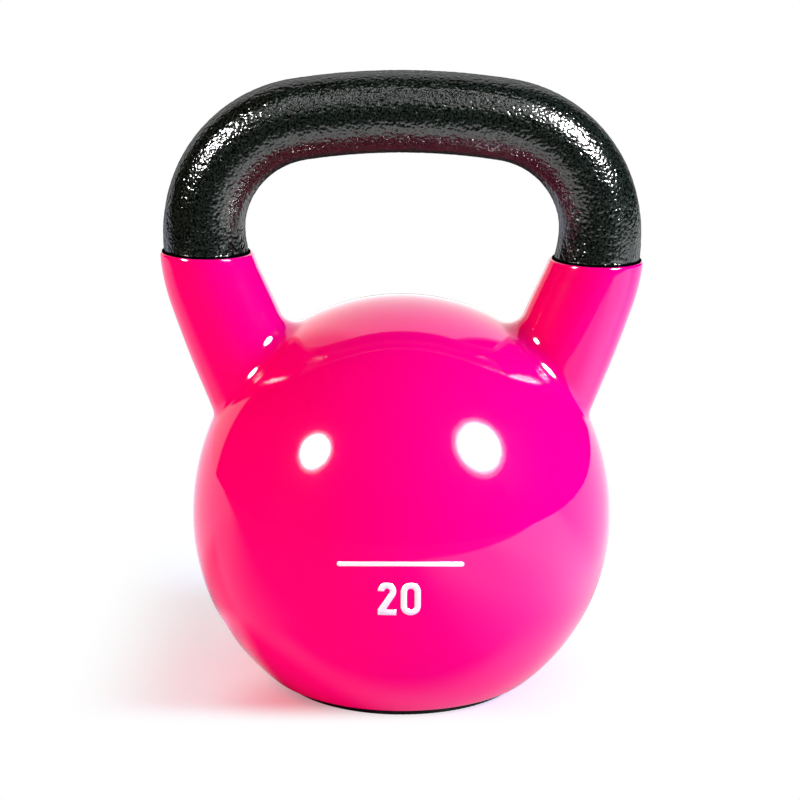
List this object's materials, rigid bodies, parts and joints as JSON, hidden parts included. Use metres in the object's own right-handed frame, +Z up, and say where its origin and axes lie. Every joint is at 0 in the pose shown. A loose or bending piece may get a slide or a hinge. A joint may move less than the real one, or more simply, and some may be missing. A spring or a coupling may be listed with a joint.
{
  "type": "kettlebell",
  "caption": "Vinyl-dipped cast-iron kettlebell with a round ball, two horns and a hammertone-enamelled loop handle, standing on a flat rubber base pad.",
  "frame": {"origin": "on the floor, at the middle of the base pad's underside, below the middle of the ball", "axes": "+Z up through the ball to the middle of the handle, +X along the handle to the right as seen from the printed front, +Y to the back"},
  "size_m": [0.1944, 0.172, 0.2514],
  "materials": {
    "grey_iron": "matte",
    "pink_vinyl": "gloss",
    "hammertone_enamel": "satin",
    "pad_adhesive": "matte",
    "black_rubber": "matte"
  },
  "bodies": {
    "root": {"iron_casting": "grey_iron", "vinyl_jacket": "pink_vinyl", "handle_enamel": "hammertone_enamel", "base_pad_adhesive": "pad_adhesive", "rubber_base_pad": "black_rubber"}
  },
  "joints": []
}
